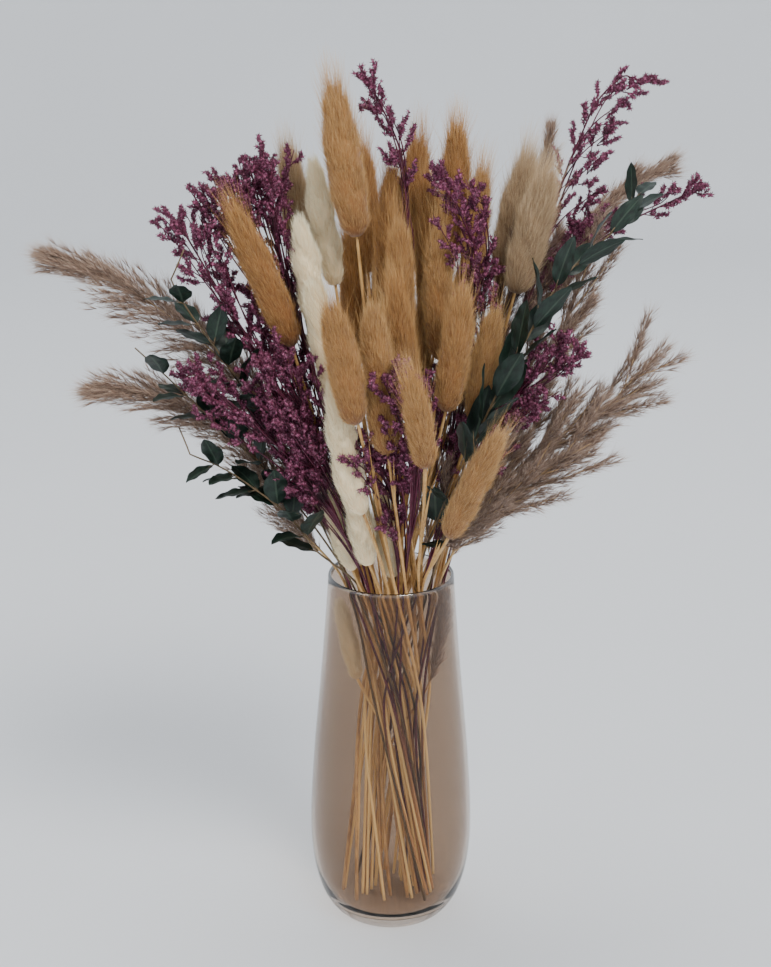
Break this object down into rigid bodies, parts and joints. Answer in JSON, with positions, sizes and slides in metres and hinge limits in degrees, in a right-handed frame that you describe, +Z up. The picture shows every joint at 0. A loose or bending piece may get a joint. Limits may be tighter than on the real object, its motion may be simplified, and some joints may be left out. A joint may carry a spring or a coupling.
{
  "type": "dried flower bouquet in a vase",
  "caption": "Bunch of dried bunny tails, reed plumes, statice and dark leaf sprigs standing in a tall tapered clear glass vase.",
  "frame": {"origin": "centre of the vase foot, on the table", "axes": "+Z up the vase; the side with the lowest front heads faces -Y"},
  "size_m": [0.3876, 0.1803, 0.5477],
  "materials": {
    "vase_glass": "clear, faint smoky rose tint",
    "golden_tail": "matt, soft hair",
    "beige_tail": "matt, soft hair",
    "cream_tail": "matt, soft hair",
    "reed": "matt, feathery",
    "statice": "matt, papery florets",
    "leaf": "satin, preserved leaf"
  },
  "bodies": {
    "root": {"glass_vase": "vase_glass", "bunny_tail_gold_01": "golden_tail", "bunny_tail_gold_02": "golden_tail", "bunny_tail_gold_03": "golden_tail", "bunny_tail_gold_04": "golden_tail", "bunny_tail_gold_05": "golden_tail", "bunny_tail_gold_06": "golden_tail", "bunny_tail_gold_07": "golden_tail", "bunny_tail_gold_08": "golden_tail", "bunny_tail_gold_09": "golden_tail", "bunny_tail_gold_10": "golden_tail", "bunny_tail_gold_11": "golden_tail", "bunny_tail_gold_12": "golden_tail", "bunny_tail_gold_13": "golden_tail", "bunny_tail_gold_14": "golden_tail", "bunny_tail_gold_15": "golden_tail", "bunny_tail_gold_16": "golden_tail", "bunny_tail_gold_17": "golden_tail", "bunny_tail_gold_18": "golden_tail", "bunny_tail_gold_19": "golden_tail", "bunny_tail_gold_20": "golden_tail", "bunny_tail_gold_21": "golden_tail", "bunny_tail_gold_22": "golden_tail", "bunny_tail_beige_01": "beige_tail", "bunny_tail_beige_02": "beige_tail", "bunny_tail_beige_03": "beige_tail", "bunny_tail_cream_01": "cream_tail", "bunny_tail_cream_02": "cream_tail", "bunny_tail_cream_03": "cream_tail", "bunny_tail_cream_04": "cream_tail", "bunny_tail_cream_05": "cream_tail", "bunny_tail_cream_06": "cream_tail", "bunny_tail_cream_07": "cream_tail", "bunny_tail_cream_08": "cream_tail", "reed_plume_01": "reed", "reed_plume_02": "reed", "reed_plume_03": "reed", "reed_plume_04": "reed", "reed_plume_05": "reed", "reed_plume_06": "reed", "reed_plume_07": "reed", "reed_plume_08": "reed", "reed_plume_09": "reed", "statice_sprig_01": "statice", "statice_sprig_02": "statice", "statice_sprig_03": "statice", "statice_sprig_04": "statice", "statice_sprig_05": "statice", "statice_sprig_06": "statice", "statice_sprig_07": "statice", "statice_sprig_08": "statice", "statice_sprig_09": "statice", "statice_sprig_10": "statice", "statice_sprig_11": "statice", "statice_sprig_12": "statice", "leaf_sprig_01": "leaf", "leaf_sprig_02": "leaf", "leaf_sprig_03": "leaf", "leaf_sprig_04": "leaf", "leaf_sprig_05": "leaf"}
  },
  "joints": []
}
